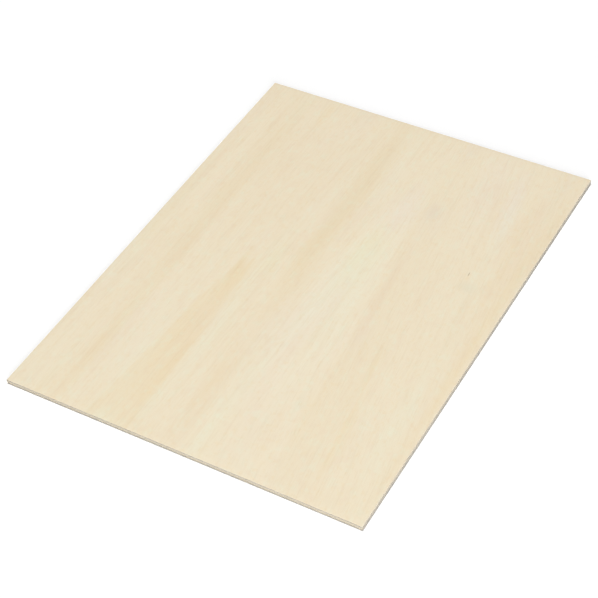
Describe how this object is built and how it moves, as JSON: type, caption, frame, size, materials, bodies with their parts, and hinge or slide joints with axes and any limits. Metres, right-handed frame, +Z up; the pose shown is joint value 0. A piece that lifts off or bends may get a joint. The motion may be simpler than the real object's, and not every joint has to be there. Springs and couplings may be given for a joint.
{
  "type": "plywood sheet",
  "caption": "Thin flat rectangular plywood sheet, outer grain along its length, for panels, bases, backs and parts cut from it.",
  "frame": {"origin": "middle of the underside, on the plane that the sheet lies on", "axes": "+Z up, out of the face veneer; +Y along the sheet's length and the grain of its outer veneers; +X along its width, to the right when the short edge at -Y is nearest"},
  "size_m": [0.3, 0.4, 0.003],
  "materials": {
    "face_veneer_wood": "matte",
    "core_ply_wood": "matte",
    "back_veneer_wood": "matte"
  },
  "bodies": {
    "root": {"face_veneer": "face_veneer_wood", "core_ply": "core_ply_wood", "back_veneer": "back_veneer_wood"}
  },
  "joints": []
}
